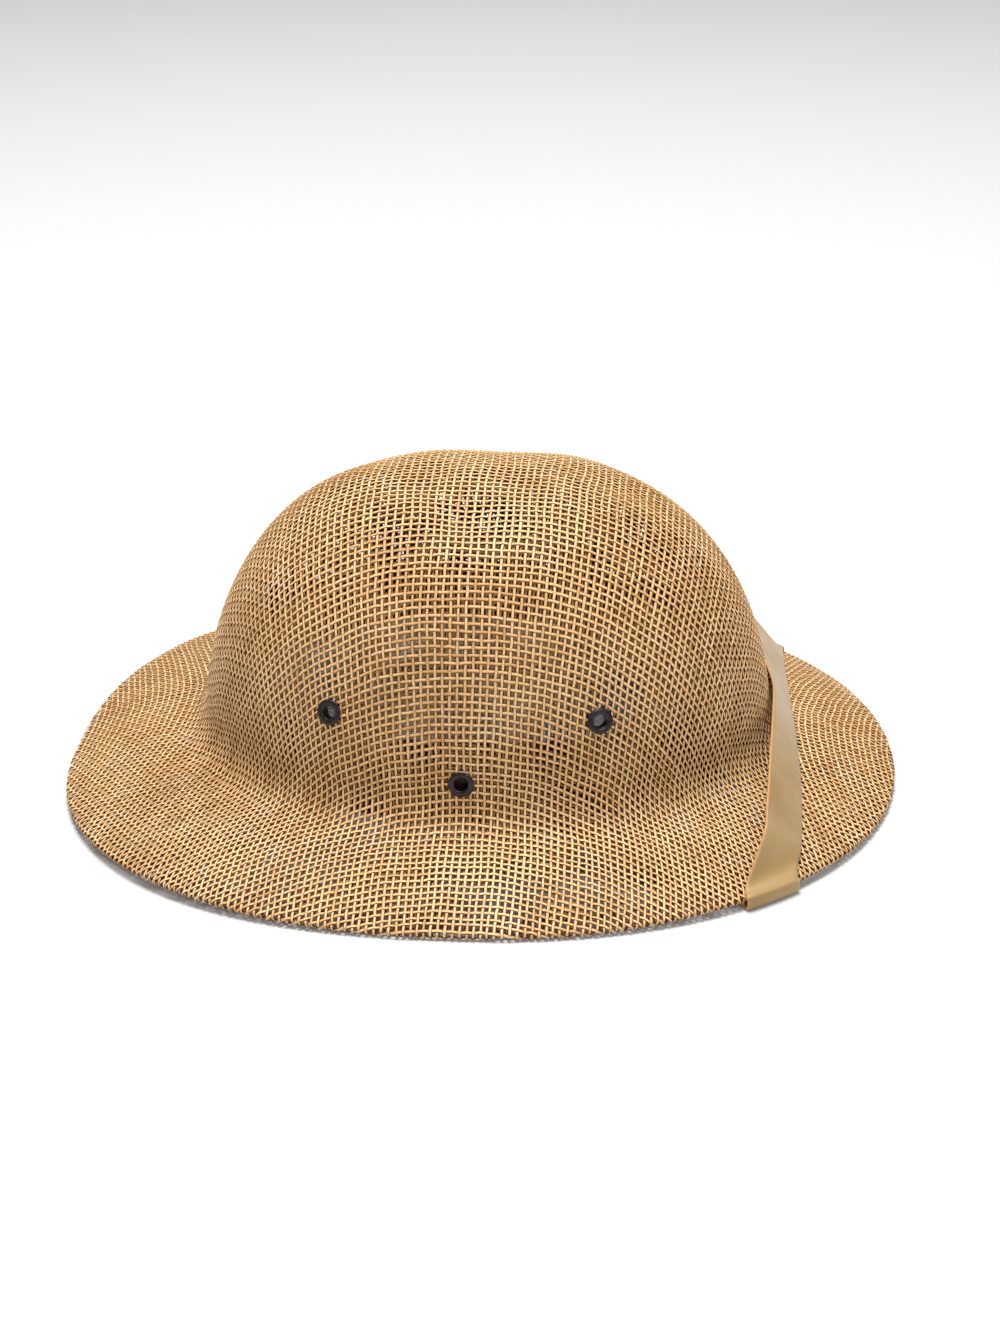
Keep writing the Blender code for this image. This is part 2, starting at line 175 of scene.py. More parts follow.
# Arc length down each section, so that cloth can be measured along the wall.
sectionGrid = {"bearings": 361, "places": 1401, "lastPlace": 5.0, "step": 0.0005}
gridBearings = np.linspace(0, 2 * np.pi, sectionGrid["bearings"])
gridPlaces = np.linspace(0, sectionGrid["lastPlace"], sectionGrid["places"])
sections = wallPoint(gridBearings[:, None], gridPlaces[None, :])
sectionLengths = np.zeros(sections.shape[:2])
sectionLengths[:, 1:] = np.cumsum(np.linalg.norm(np.diff(sections, axis=1), axis=-1), axis=1)
lengthSteps = np.arange(0, sectionLengths[:, -1].min(), sectionGrid["step"])
placeAtLength = np.stack([np.interp(lengthSteps, row, gridPlaces) for row in sectionLengths])
edgeLengths = np.array([np.interp(3.0, gridPlaces, row) for row in sectionLengths])
print("sections measured: edge at", edgeLengths.min().round(4), "to", edgeLengths.max().round(4))


def edgeLengthAt(bearing):
    return np.interp(bearing % (2 * np.pi), gridBearings, edgeLengths)


def placeAt(bearing, length):
    column = (bearing % (2 * np.pi)) / (gridBearings[1] - gridBearings[0])
    row = np.clip(length / sectionGrid["step"], 0, len(lengthSteps) - 1.001)
    left = np.minimum(column.astype(int), sectionGrid["bearings"] - 2)
    top = row.astype(int)
    across = column - left
    down = row - top
    upper = placeAtLength[left, top] * (1 - across) + placeAtLength[left + 1, top] * across
    lower = placeAtLength[left, top + 1] * (1 - across) + placeAtLength[left + 1, top + 1] * across
    return upper * (1 - down) + lower * down


# Pattern of the cloth laid flat: x and y there are arc length from the top, along a bearing.
flatMap = {"reach": 0.300, "step": 0.0015}
flatAxis = np.arange(-flatMap["reach"], flatMap["reach"] + 1e-9, flatMap["step"])
flatX, flatY = np.meshgrid(flatAxis, flatAxis, indexing="ij")
flatBearing = np.arctan2(flatY, flatX)
flatLength = np.hypot(flatX, flatY)
flatPoint = wallPoint(flatBearing, placeAt(flatBearing, flatLength))
flatAlongX = np.gradient(flatPoint, flatMap["step"], axis=0)
flatAlongY = np.gradient(flatPoint, flatMap["step"], axis=1)
flatTable = np.concatenate([flatPoint, flatAlongX, flatAlongY], axis=-1)


def readFlat(spots):
    scaled = np.clip((spots + flatMap["reach"]) / flatMap["step"], 0, len(flatAxis) - 1.001)
    low = scaled.astype(int)
    share = scaled - low
    i, j = low[..., 0], low[..., 1]
    u, v = share[..., :1], share[..., 1:]
    first = flatTable[i, j] * (1 - u) + flatTable[i + 1, j] * u
    second = flatTable[i, j + 1] * (1 - u) + flatTable[i + 1, j + 1] * u
    mixed = first * (1 - v) + second * v
    return mixed[..., :3], mixed[..., 3:6], mixed[..., 6:]


# The woven sheet, pressed over the form: threads keep their spacing where they can, and the
# squares shear to diamonds towards the four corners.
weave = {
    "levels": ((4, 600), (2, 260), (1, 130)),  # coarse nets first: threads skipped, rounds
    "shearStiffness": 0.03,
    "bendStiffness": 0.10,
    "rate": 0.14,
    "momentum": 0.86,
    "margin": 0.016,
    "rows": 96,
    "leastSpread": 0.02,  # keeps the step finite where the flat map is pinched
}


def pullThreads(points, push, active, first, second, rest, stiffness):
    between = points[second] - points[first]
    length = np.maximum(np.linalg.norm(between, axis=-1, keepdims=True), 1e-9)
    both = (active[first] & active[second])[..., None]
    pull = np.where(both, between * (1 - rest / length) * stiffness, 0)
    push[first] += pull
    push[second] -= pull


def layNet(pitchX, pitchY, turn):
    spots = None
    for skip, rounds in weave["levels"]:
        count = weave["rows"] // skip
        index = np.arange(-count, count + 1)
        restX, restY = pitchX * skip, pitchY * skip
        flat = np.stack(np.meshgrid(index * restX, index * restY, indexing="ij"), axis=-1)
        cosTurn, sinTurn = math.cos(turn), math.sin(turn)
        flat = flat @ np.array([[cosTurn, sinTurn], [-sinTurn, cosTurn]])
        if spots is None:
            spots = flat.copy()
        else:
            old = spots - oldFlat
            shift = np.zeros(flat.shape)
            shift[::2, ::2] = old
            shift[1::2, ::2] = (old[:-1] + old[1:]) / 2
            shift[:, 1::2] = (shift[:, :-2:2] + shift[:, 2::2]) / 2
            spots = flat + shift
        oldFlat = flat
        away = np.hypot(flat[..., 0], flat[..., 1])
        active = away < edgeLengthAt(np.arctan2(flat[..., 1], flat[..., 0])) + weave["margin"] + restX
        spring = (
            (np.s_[:-1, :], np.s_[1:, :], restX, 1.0),
            (np.s_[:, :-1], np.s_[:, 1:], restY, 1.0),
            (np.s_[:-1, :-1], np.s_[1:, 1:], math.hypot(restX, restY), weave["shearStiffness"]),
            (np.s_[:-1, 1:], np.s_[1:, :-1], math.hypot(restX, restY), weave["shearStiffness"]),
        )
        speed = np.zeros(spots.shape)
        for _ in range(rounds):
            points, alongX, alongY = readFlat(spots)
            push = np.zeros(points.shape)
            for first, second, rest, stiffness in spring:
                pullThreads(points, push, active, first, second, rest, stiffness)
            for before, middle, after in (
                (np.s_[:-2, :], np.s_[1:-1, :], np.s_[2:, :]),
                (np.s_[:, :-2], np.s_[:, 1:-1], np.s_[:, 2:]),
            ):
                bend = (points[before] + points[after]) / 2 - points[middle]
                whole = (active[before] & active[middle] & active[after])[..., None]
                push[middle] += np.where(whole, bend * weave["bendStiffness"], 0)
            xx = (alongX * alongX).sum(-1)
            yy = (alongY * alongY).sum(-1)
            xy = (alongX * alongY).sum(-1)
            px = (alongX * push).sum(-1)
            py = (alongY * push).sum(-1)
            spread = np.maximum(xx * yy - xy * xy, weave["leastSpread"])
            step = np.stack([(yy * px - xy * py) / spread, (xx * py - xy * px) / spread], axis=-1)
            step = np.clip(step, -restX, restX) * active[..., None]
            speed = speed * weave["momentum"] + step * weave["rate"]
            spots = spots + speed
        points = readFlat(spots)[0]
        gaps = np.linalg.norm(points[1:] - points[:-1], axis=-1)[active[1:] & active[:-1]]
        print("net skip", skip, "gap", (gaps / restX).min().round(3), (gaps / restX).max().round(3))
    return spots, active


# Hand-laid cloth is never quite even: long waves, one shift for each thread and a little jitter.
unevenness = {"waves": 14, "shortest": 0.022, "longest": 0.080}


def addUnevenness(spots, seed, smooth, rough, threadShift):
    chance = np.random.default_rng(seed)
    moved = spots.copy()
    for axis in range(2):
        for _ in range(unevenness["waves"]):
            wave = 2 * np.pi / chance.uniform(unevenness["shortest"], unevenness["longest"])
            heading = chance.uniform(0, 2 * np.pi)
            phase = chance.uniform(0, 2 * np.pi)
            ride = spots[..., 0] * math.cos(heading) + spots[..., 1] * math.sin(heading)
            moved[..., axis] += smooth * np.sin(ride * wave + phase) / math.sqrt(unevenness["waves"] / 2)
    rows, columns = spots.shape[:2]
    moved[..., 0] += chance.normal(0, threadShift, (rows, 1))
    moved[..., 1] += chance.normal(0, threadShift, (1, columns))
    moved += chance.normal(0, rough, spots.shape)
    return moved


# The hem: the outer ply turns under at the edge and lies back against the brim's underside.
hem = {
    "turnRadius": 0.00104,
    "depth": 0.0005,  # of the ply's middle behind the hat's outer surface
    "inset": 0.00160,
    "flap": 0.0070,
}
hemTurn = math.pi * hem["turnRadius"]


def pastHem(spots):
    bearing = np.arctan2(spots[..., 1], spots[..., 0])
    return np.hypot(spots[..., 0], spots[..., 1]) - edgeLengthAt(bearing) + hem["inset"]


# Place and outward direction of a thread's middle on a ply, folded round the hem where it runs on.
def plyPoint(spots, depth, lift):
    bearing = np.arctan2(spots[..., 1], spots[..., 0])
    length = np.hypot(spots[..., 0], spots[..., 1])
    turnStart = edgeLengthAt(bearing) - hem["inset"]
    over = length - turnStart
    place = placeAt(bearing, np.minimum(length, turnStart))
    base = wallPoint(bearing, place)
    normal = wallNormal(bearing, place)
    outward = wallPoint(bearing, place + 0.02) - wallPoint(bearing, place - 0.02)
    outward = unit(outward - normal * (outward * normal).sum(-1, keepdims=True))
    radius = hem["turnRadius"]
    angle = np.clip(over / radius, 0, math.pi)[..., None]
    facing = np.where(over[..., None] > 0, normal * np.cos(angle) + outward * np.sin(angle), normal)
    centre = base - normal * (depth + radius)
    folded = centre + facing * (radius + lift[..., None])
    folded = folded - outward * np.maximum(over - hemTurn, 0)[..., None]
    straight = base + normal * (lift[..., None] - depth)
    return np.where(over[..., None] > 0, folded, straight), facing


# Eyelets: one low and two high on each side.
eyelet = {
    "flange": 0.0049,
    "bore": 0.0025,
    "barrel": 0.0032,
    "flangeThickness": 0.0008,
    "upperHeight": 0.057,
    "lowerHeight": 0.0355,
    "spreadDegrees": 32.7,
    "sides": 48,
    # Shares of the flange's thickness: the rolled rim in front, and the one behind.
    "rimBase": 0.35,
    "rimRise": 0.65,
    "rimFoot": 0.12,
    "rimTuck": 0.2,
    "backBase": 0.3,
    "backRise": 0.6,
    "clearance": 0.0003,
    "modelSides": 16,
    "cutRadius": 0.0043,
}


def placeAtHeight(height):
    return crownTurn(height) / crownTurn(hatForm["junctionHeight"] + hatForm["flareRise"])


def eyeletSeats():
    seats = []
    for side, sign in (("right", -1), ("left", 1)):
        middle = sign * math.pi / 2
        spread = sign * math.radians(eyelet["spreadDegrees"])
        upper = placeAtHeight(eyelet["upperHeight"])
        lower = placeAtHeight(eyelet["lowerHeight"])
        seats.append((f"eyelet_{side}_front", middle - spread, upper))
        seats.append((f"eyelet_{side}_rear", middle + spread, upper))
        seats.append((f"eyelet_{side}_low", middle, lower))
    return seats


# Colours are given as sRGB hex codes and turned to linear light here.
def linearColour(hexCode):
    channels = [int(hexCode[start:start + 2], 16) / 255 for start in (0, 2, 4)]
    linear = [c / 12.92 if c <= 0.04045 else ((c + 0.055) / 1.055) ** 2.4 for c in channels]
    return (*linear, 1.0)


def newMaterial(name):
    material = bpy.data.materials.new(name)
    material.use_nodes = True
    shader = material.node_tree.nodes["Principled BSDF"]
    return material, shader


def link(source, socket):
    socket.id_data.links.new(source, socket)


def addNode(material, kind, settings=None, links=None):
    node = material.node_tree.nodes.new(kind)
    for name, value in (settings or {}).items():
        if isinstance(name, str) and hasattr(node, name):
            setattr(node, name, value)
        else:
            node.inputs[name].default_value = value
    for name, source in (links or {}).items():
        link(source, node.inputs[name])
    return node


def addRamp(material, source, stops):
    ramp = addNode(material, "ShaderNodeValToRGB", links={"Fac": source})
    points = ramp.color_ramp.elements
    while len(points) < len(stops):
        points.new(0.5)
    for point, (position, colour) in zip(points, stops):
        point.position = position
        point.color = colour
    return ramp.outputs["Color"]


# Twisted paper straw: fibre paper slit into ribbons, spun into cord and stiffened with resin. It looks
# like pale tan cord with fine twist lines, a soft sheen on top and small changes of tone; painted shade
# darkens its flanks. The inner ply gets a browner copy of the colours, painted shade for the dim inside
# of the hat.
straw = {
    # The last colour in each row is painted shade for the cords' flanks and underside.
    "outer": {"light": "F3CC96", "middle": "E9BA80", "dark": "CC9A5E", "flankShade": "6A411D"},
    # The inner row is a browner copy of the outer one: painted shade for the dim inside of the hat.
    "inner": {"light": "D8A767", "middle": "C69251", "dark": "A6753B", "flankShade": "52300F"},
    "twistPerMillimetre": 0.55,
    "tonePerMillimetre": 0.055,  # one change of tone in about 18 mm of cord
    "patchesPerMetre": 28.0,
    "toneShare": 0.65,
    "patchShare": 0.35,
    # Where the painted shade on the cords' flanks begins and where it is full.
    "flankShadeFrom": 0.09,  # shares of the way round the cord, from its outer side
    "flankShadeTo": 0.23,
    "roughness": 0.52,
}


outerLap = 0.75  # where the cord's outer side is, as a share of the way round it
cordStride = 37.0  # apart on the UV map from one cord to the next, so that no two look alike


def makeStraw(name, tones):
    material, shader = newMaterial(name)
    coordinates = addNode(material, "ShaderNodeUVMap", {"uv_map": "cord"})
    objectSpace = addNode(material, "ShaderNodeTexCoord")
    tone = addNode(material, "ShaderNodeTexNoise", {"Scale": straw["tonePerMillimetre"], "Detail": 2.0},
                   {"Vector": coordinates.outputs["UV"]})
    patch = addNode(material, "ShaderNodeTexNoise", {"Scale": straw["patchesPerMetre"], "Detail": 2.0},
                    {"Vector": objectSpace.outputs["Object"]})
    mixed = addNode(material, "ShaderNodeMath", {"operation": "MULTIPLY_ADD", 1: straw["toneShare"]},
                    {0: tone.outputs["Fac"]})
    patchShare = addNode(material, "ShaderNodeMath", {"operation": "MULTIPLY", 1: straw["patchShare"]},
                         {0: patch.outputs["Fac"]})
    link(patchShare.outputs[0], mixed.inputs[2])
    colour = addRamp(material, mixed.outputs[0], (
        (0.36, linearColour(tones["dark"])),
        (0.50, linearColour(tones["middle"])),
        (0.64, linearColour(tones["light"])),
    ))
    # Painted shade: away from the cord's outer side the colour turns to a dark brown, on the flanks and
    # underside.
    parts = addNode(material, "ShaderNodeSeparateXYZ", links={"Vector": coordinates.outputs["UV"]})
    lap = addNode(material, "ShaderNodeMath", {"operation": "FRACT"}, {0: parts.outputs["Y"]})
    away = addNode(material, "ShaderNodeMath", {"operation": "SUBTRACT", 1: outerLap},
                   {0: lap.outputs[0]})
    distance = addNode(material, "ShaderNodeMath", {"operation": "ABSOLUTE"}, {0: away.outputs[0]})
    flankShade = addNode(material, "ShaderNodeMapRange", {
        "interpolation_type": "SMOOTHSTEP", "From Min": straw["flankShadeFrom"], "From Max": straw["flankShadeTo"],
    }, {"Value": distance.outputs[0]})
    flankShaded = addNode(material, "ShaderNodeMix", {"data_type": "RGBA"})
    twist = addNode(material, "ShaderNodeTexWave", {
        "wave_type": "BANDS", "bands_direction": "DIAGONAL",
        "Scale": straw["twistPerMillimetre"], "Distortion": 1.2, "Detail": 1.0,
    }, {"Vector": coordinates.outputs["UV"]})
    bump = addNode(material, "ShaderNodeBump", {"Strength": 0.35, "Distance": 0.0001},
                   {"Height": twist.outputs["Fac"]})
    link(flankShade.outputs["Result"], flankShaded.inputs["Factor"])
    link(colour, flankShaded.inputs[6])
    flankShaded.inputs[7].default_value = linearColour(tones["flankShade"])
    link(flankShaded.outputs[2], shader.inputs["Base Color"])
    link(bump.outputs["Normal"], shader.inputs["Normal"])
    shader.inputs["Roughness"].default_value = straw["roughness"]
    shader.inputs["IOR"].default_value = 1.46
    return material


strawOutside = makeStraw("twisted_paper_straw_glazed", straw["outer"])
# The inner ply's material is a darker copy of the outer one, as painted shade.
strawInside = makeStraw("twisted_paper_straw_painted_shade", straw["inner"])


# Mesh from rows of rings, quads between rings of one run and a cap at each of its ends.
def makeTubes(name, rings, runs, cordLengths, cordNumbers, material):
    count, sides = rings.shape[:2]
    mesh = bpy.data.meshes.new(name)
    mesh.vertices.add(count * sides)
    mesh.vertices.foreach_set("co", rings.reshape(-1).astype(np.float32))
    around = np.arange(sides)
    after = (around + 1) % sides
    joined = np.concatenate([np.arange(first, last) for first, last in runs])
    low = joined[:, None] * sides
    high = low + sides
    quads = np.stack([low + around, low + after, high + after, high + around], axis=-1)
    quadLoops = quads.reshape(-1)
    alongLow = np.broadcast_to(cordLengths[joined][:, None], (len(joined), sides))
    alongHigh = np.broadcast_to(cordLengths[joined + 1][:, None], (len(joined), sides))
    lapStart = np.broadcast_to(around / sides, (len(joined), sides))
    lapEnd = lapStart + 1 / sides
    shift = cordNumbers[joined][:, None, None] * cordStride
    quadAlong = np.stack([alongLow, alongLow, alongHigh, alongHigh], axis=-1)
    quadLap = np.stack([lapStart, lapEnd, lapEnd, lapStart], axis=-1) + shift
    caps = []
    for first, last in runs:
        caps.append((first * sides + around)[::-1])
        caps.append(last * sides + around)
    caps = np.array(caps)
    capAlong = cordLengths[caps // sides]
    capLap = np.zeros(caps.shape) + cordNumbers[caps // sides] * cordStride
    allLoops = np.concatenate([quadLoops, caps.reshape(-1)])
    quadCount = len(joined) * sides
    starts = np.concatenate([np.arange(quadCount) * 4, quadCount * 4 + np.arange(len(caps)) * sides])
    totals = np.concatenate([np.full(quadCount, 4), np.full(len(caps), sides)])
    mesh.loops.add(len(allLoops))
    mesh.loops.foreach_set("vertex_index", allLoops.astype(np.int32))
    mesh.polygons.add(len(starts))
    mesh.polygons.foreach_set("loop_start", starts.astype(np.int32))
    mesh.polygons.foreach_set("loop_total", totals.astype(np.int32))
    mesh.polygons.foreach_set("use_smooth", np.ones(len(starts), dtype=bool))
    uv = mesh.uv_layers.new(name="cord")
    along = np.concatenate([quadAlong.reshape(-1), capAlong.reshape(-1)])
    lap = np.concatenate([quadLap.reshape(-1), capLap.reshape(-1)])
    uv.data.foreach_set("uv", np.stack([along, lap], axis=-1).reshape(-1).astype(np.float32))
    mesh.update(calc_edges=True)
    mesh.validate()
    mesh.materials.append(material)
    piece = bpy.data.objects.new(name, mesh)
    bpy.context.scene.collection.objects.link(piece)
    return piece


def runLengths(points):
    return np.concatenate([[0], np.cumsum(np.linalg.norm(np.diff(points, axis=0), axis=1))])


def readThread(nodes, times):
    low = np.clip(times.astype(int), 0, len(nodes) - 2)
    t = (times - low)[:, None]
    a = nodes[np.maximum(low - 1, 0)]
    b = nodes[low]
    c = nodes[low + 1]
    d = nodes[np.minimum(low + 2, len(nodes) - 1)]
    return b + 0.5 * t * (c - a + t * (2 * a - 5 * b + 4 * c - d + t * (3 * (b - c) + d - a)))


# Clear distance from each thread to its neighbours, as a share of the pitch: less than 1 in the sheared
# corners, where the cords draw in so that the holes stay open.
def threadRoom(points, way, pitch):
    along = np.gradient(points, axis=way)
    across = np.gradient(points, axis=1 - way)
    along = unit(along)
    aside = across - along * (across * along).sum(-1, keepdims=True)
    return np.linalg.norm(aside, axis=-1) / pitch


# How finely a thread is sampled: parts of each mesh near an eyelet, on the hem's fold and on its flap,
# and how far round those places that holds.
sampling = {
    "seatParts": 4,
    "foldParts": 6,
    "flapParts": 2,
    "roundSeat": 0.0035,
    "beforeFold": 0.0012,
    "afterFold": 0.0008,
    "leastShare": 0.08,  # of a part: a shorter end is dropped
}


# Cuts one thread of the net to the stretches that belong to the ply, as runs of sample times.
def cutThread(nodes, limit, seatPoints):
    over = pastHem(nodes)
    if over.min() >= limit:
        return []
    points = readFlat(nodes)[0]
    nearSeat = np.zeros(len(nodes), dtype=bool)
    for seat in seatPoints:
        nearSeat |= np.linalg.norm(points - seat, axis=-1) < eyelet["cutRadius"] + sampling["roundSeat"]
    low = np.minimum(over[:-1], over[1:])
    high = np.maximum(over[:-1], over[1:])
    reached = high > -sampling["beforeFold"]
    parts = np.where(reached & (low < limit), sampling["flapParts"], 1)
    parts = np.where(reached & (low < hemTurn + sampling["afterFold"]), sampling["foldParts"], parts)
    parts = np.where(low > limit, 1, parts)
    parts = np.where(nearSeat[:-1] | nearSeat[1:], np.maximum(parts, sampling["seatParts"]), parts)
    times = np.concatenate([k + np.arange(n) / n for k, n in enumerate(parts)] + [[len(nodes) - 1.0]])
    spots = readThread(nodes, times)
    room = limit - pastHem(spots)
    if len(seatPoints) and nearSeat.any():
        points = readFlat(spots)[0]
        for seat in seatPoints:
            room = np.minimum(room, np.linalg.norm(points - seat, axis=-1) - eyelet["cutRadius"])
    keep = room > 0
    runs = []
    edges = np.flatnonzero(np.diff(np.concatenate([[0], keep.astype(int), [0]])))
    for first, last in zip(edges[::2], edges[1::2]):
        run = list(times[first:last])
        if first > 0:
            share = room[first] / (room[first] - room[first - 1])
            if share > sampling["leastShare"]:
                run.insert(0, times[first] - share * (times[first] - times[first - 1]))
        if last < len(times):
            share = room[last - 1] / (room[last - 1] - room[last])
            if share > sampling["leastShare"]:
                run.append(times[last - 1] + share * (times[last] - times[last - 1]))
        if len(run) > 2:
            runs.append(np.array(run))
    return runs


cordShape = {
    "spread": 0.03,  # of the cords' widths, as a share
    "wobbles": ((0.013, 40, 0.04), (0.0047, 90, 0.03)),  # length for a radian, shift, share of the width
    "toneShift": 500,  # millimetres along the UV map
}
halves = ((0, "lengthwise", ("right", "left")), (1, "crosswise", ("rear", "front")))


# One ply: cords along and across the hat, each over one and under the next.
def weavePly(name, ply, seatPoints):
    spots, active = layNet(ply["pitchX"], ply["pitchY"], ply["turn"])
    spots = addUnevenness(spots, ply["seed"], ply["smooth"], ply["rough"], ply["threadShift"])
    chance = np.random.default_rng(ply["seed"] + 1)
    middle = weave["rows"]
    points = readFlat(spots)[0]
    rooms = [threadRoom(points, 0, ply["pitchY"]), threadRoom(points, 1, ply["pitchX"])]
    for way, label, sideNames in halves:
        for half, side in enumerate(sideNames):
            numbers = range(middle, 2 * middle + 1) if half else range(0, middle)
            centres, facings, widths, lengths, cords, runs = [], [], [], [], [], []
            total = 0
            for number in numbers:
                line = spots[:, number] if way == 0 else spots[number, :]
                real = active[:, number] if way == 0 else active[number, :]
                room = rooms[0][:, number] if way == 0 else rooms[1][number, :]
                held = np.flatnonzero(real)
                if len(held) < 4:
                    continue
                nodes = line[held[0]:held[-1] + 1]
                room = room[held[0]:held[-1] + 1]
                sign = 1 if way == 0 else -1
                tone = chance.uniform(0, 1)
                fat = 1 + chance.normal(0, cordShape["spread"])
                for times in cutThread(nodes, ply["limit"], seatPoints):
                    where = readThread(nodes, times)
                    swing = np.cos(np.pi * (times + held[0] + number)) * sign
                    lift = swing * ply["swing"]
                    centre, facing = plyPoint(where, ply["depth"], lift)
                    run = runLengths(centre)
                    centres.append(centre)
                    facings.append(facing)
                    wobble = sum(
                        np.sin(run / wave + tone * shift) * share
                        for wave, shift, share in cordShape["wobbles"]
                    )
                    snug = np.interp(times, np.arange(len(room)), room)
                    snug = np.clip(snug, ply["narrowest"], 1.0)
                    widths.append((fat + wobble) * snug)
                    lengths.append(run * 1000 + tone * cordShape["toneShift"])
                    cords.append(np.full(len(run), float(number)))
                    runs.append((total, total + len(run) - 1))
                    total += len(run)
            centre = np.concatenate(centres)
            facing = np.concatenate(facings)
            tangent = np.zeros(centre.shape)
            tangent[1:-1] = centre[2:] - centre[:-2]
            for first, last in runs:
                tangent[first] = centre[first + 1] - centre[first]
                tangent[last] = centre[last] - centre[last - 1]
            tangent = unit(tangent)
            sideways = unit(np.cross(tangent, facing))
            upward = np.cross(sideways, tangent)
            width = np.concatenate(widths)[:, None, None] * ply["width"] / 2
            height = np.concatenate(widths)[:, None, None] * ply["thickness"] / 2
            angle = (2 * np.pi * np.arange(ply["sides"]) / ply["sides"] + ply["roll"])[None, :, None]
            rings = centre[:, None] + sideways[:, None] * np.cos(angle) * width
            rings = rings - upward[:, None] * np.sin(angle) * height
            piece = makeTubes(
                f"{name}_{label}_{side}", rings, runs, np.concatenate(lengths),
                np.concatenate(cords), ply["material"],
            )
            triangles = sum(len(face.vertices) - 2 for face in piece.data.polygons)
            print("woven", piece.name, "cords", len(runs), "triangles", triangles)
            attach(piece, "root")
            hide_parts("shell")


outerPly = {
    "pitchX": 0.00272,
    "pitchY": 0.00285,
    "turn": 0.0,
    "depth": hem["depth"],
    "material": strawOutside,
    "narrowest": 0.66,
    "width": 0.00125,
    "thickness": 0.00050,
    "swing": 0.00020,
    "sides": 6,
    "roll": 0.0,
    "limit": hemTurn + hem["flap"],
    "smooth": 0.00025,
    "rough": 0.00010,
    "threadShift": 0.00012,
    "seed": 11,
}
innerPly = {
    "pitchX": 0.00272 * 1.02,
    "pitchY": 0.00285 * 0.95,
    "turn": math.radians(0.9),
    "depth": 0.00155,
    "material": strawInside,
    "narrowest": 0.70,
    "width": 0.00150,
    "thickness": 0.00046,
    "swing": 0.00018,
    "sides": 4,
    "roll": math.pi / 4,
    "limit": -0.0065,
    "smooth": 0.00050,
    "rough": 0.00010,
    "threadShift": 0.00012,
    "seed": 23,
}
seatPoints = [wallPoint(bearing, place) for name, bearing, place in eyeletSeats()]
weavePly("outer_mesh", outerPly, seatPoints)
weavePly("inner_mesh", innerPly, seatPoints)


def asMatrix(origin, facing):
    turn = Vector(facing).to_track_quat("Z", "Y").to_matrix().to_4x4()
    return Matrix.Translation(Vector(origin)) @ turn


# How far the flanges stand off the curved wall, outside and inside.
def flangeLift(bearing, place):
    inverse = asMatrix(wallPoint(bearing, place), wallNormal(np.float64(bearing), place)).inverted()
    radius = np.hypot(*wallPoint(bearing, place)[:2])
    slope = np.linalg.norm(wallPoint(bearing, place + 0.01) - wallPoint(bearing, place - 0.01)) / 0.02
    outside = 0.0
    inside = 0.0
    for step in range(eyelet["modelSides"]):
        angle = 2 * math.pi * step / eyelet["modelSides"]
        nearBearing = np.float64(bearing + eyelet["flange"] * math.cos(angle) / radius)
        nearPlace = place + eyelet["flange"] * math.sin(angle) / slope
        point = wallPoint(nearBearing, nearPlace)
        outside = max(outside, (inverse @ Vector(point)).z)
        inner = point - wallNormal(nearBearing, nearPlace) * hatForm["wall"]
        inside = max(inside, -hatForm["wall"] - (inverse @ Vector(inner)).z)
    return outside + eyelet["clearance"], inside + eyelet["clearance"]


# Brown enamel baked on a pressed brass eyelet: smooth, fairly glossy, near black with a plum cast,
# and worn a little paler in small specks all over.
enamel = {"body": "22161A", "worn": "453029", "smoothest": 0.16, "roughest": 0.36}


def makeEnamel():
    material, shader = newMaterial("baked_brown_enamel")
    space = addNode(material, "ShaderNodeTexCoord")
    speck = addNode(material, "ShaderNodeTexNoise", {"Scale": 900.0, "Detail": 3.0},
                    {"Vector": space.outputs["Object"]})
    colour = addRamp(material, speck.outputs["Fac"], (
        (0.52, linearColour(enamel["body"])),
        (0.74, linearColour(enamel["worn"])),
    ))
    link(colour, shader.inputs["Base Color"])
    rough = addNode(material, "ShaderNodeMapRange", {
        "To Min": enamel["smoothest"], "To Max": enamel["roughest"],
    }, {"Value": speck.outputs["Fac"]})
    link(rough.outputs["Result"], shader.inputs["Roughness"])
    bump = addNode(material, "ShaderNodeBump", {"Strength": 0.12, "Distance": 0.00005},
                   {"Height": speck.outputs["Fac"]})
    link(bump.outputs["Normal"], shader.inputs["Normal"])
    shader.inputs["Metallic"].default_value = 0.25
    return material


enamelMaterial = makeEnamel()


def makeGrid(name, rows, closedRows, closedColumns, material):
    rowCount, columnCount = rows.shape[:2]
    vertices = rows.reshape(-1, 3)
    faces = []
    for row in range(rowCount if closedRows else rowCount - 1):
        nextRow = (row + 1) % rowCount
        for column in range(columnCount if closedColumns else columnCount - 1):
            nextColumn = (column + 1) % columnCount
            faces.append((
                row * columnCount + column, nextRow * columnCount + column,
                nextRow * columnCount + nextColumn, row * columnCount + nextColumn,
            ))
    mesh = bpy.data.meshes.new(name)
    mesh.from_pydata(vertices.tolist(), [], faces)
    mesh.shade_smooth()
    mesh.materials.append(material)
    piece = bpy.data.objects.new(name, mesh)
    bpy.context.scene.collection.objects.link(piece)
    return piece


# A closed ring of profile points, turned round the eyelet's axis, with rolled rims.
def eyeletProfile(outside, inside):
    flange, bore, barrel = eyelet["flange"], eyelet["bore"], eyelet["barrel"]
    thick = eyelet["flangeThickness"]
    back = -hatForm["wall"] - inside
    profile = []
    roll = (flange - bore) / 2
    centre = (flange + bore) / 2
    for step in range(13):
        angle = math.pi * step / 12
        rise = thick * eyelet["rimBase"] + thick * eyelet["rimRise"] * math.sin(angle)
        profile.append((centre - roll * math.cos(angle), outside + rise))
    profile.append((flange, outside + thick * eyelet["rimFoot"]))
    profile.append((flange - thick * eyelet["rimTuck"], outside))
    profile.append((barrel, outside))
    profile.append((barrel, back))
    profile.append((flange - thick * eyelet["rimTuck"], back))
    for step in range(7):
        angle = math.pi * step / 6
        fall = thick * eyelet["backBase"] + thick * eyelet["backRise"] * math.sin(angle)
        profile.append((centre + roll * math.cos(angle), back - fall))
    profile.append((bore, back))
    return profile


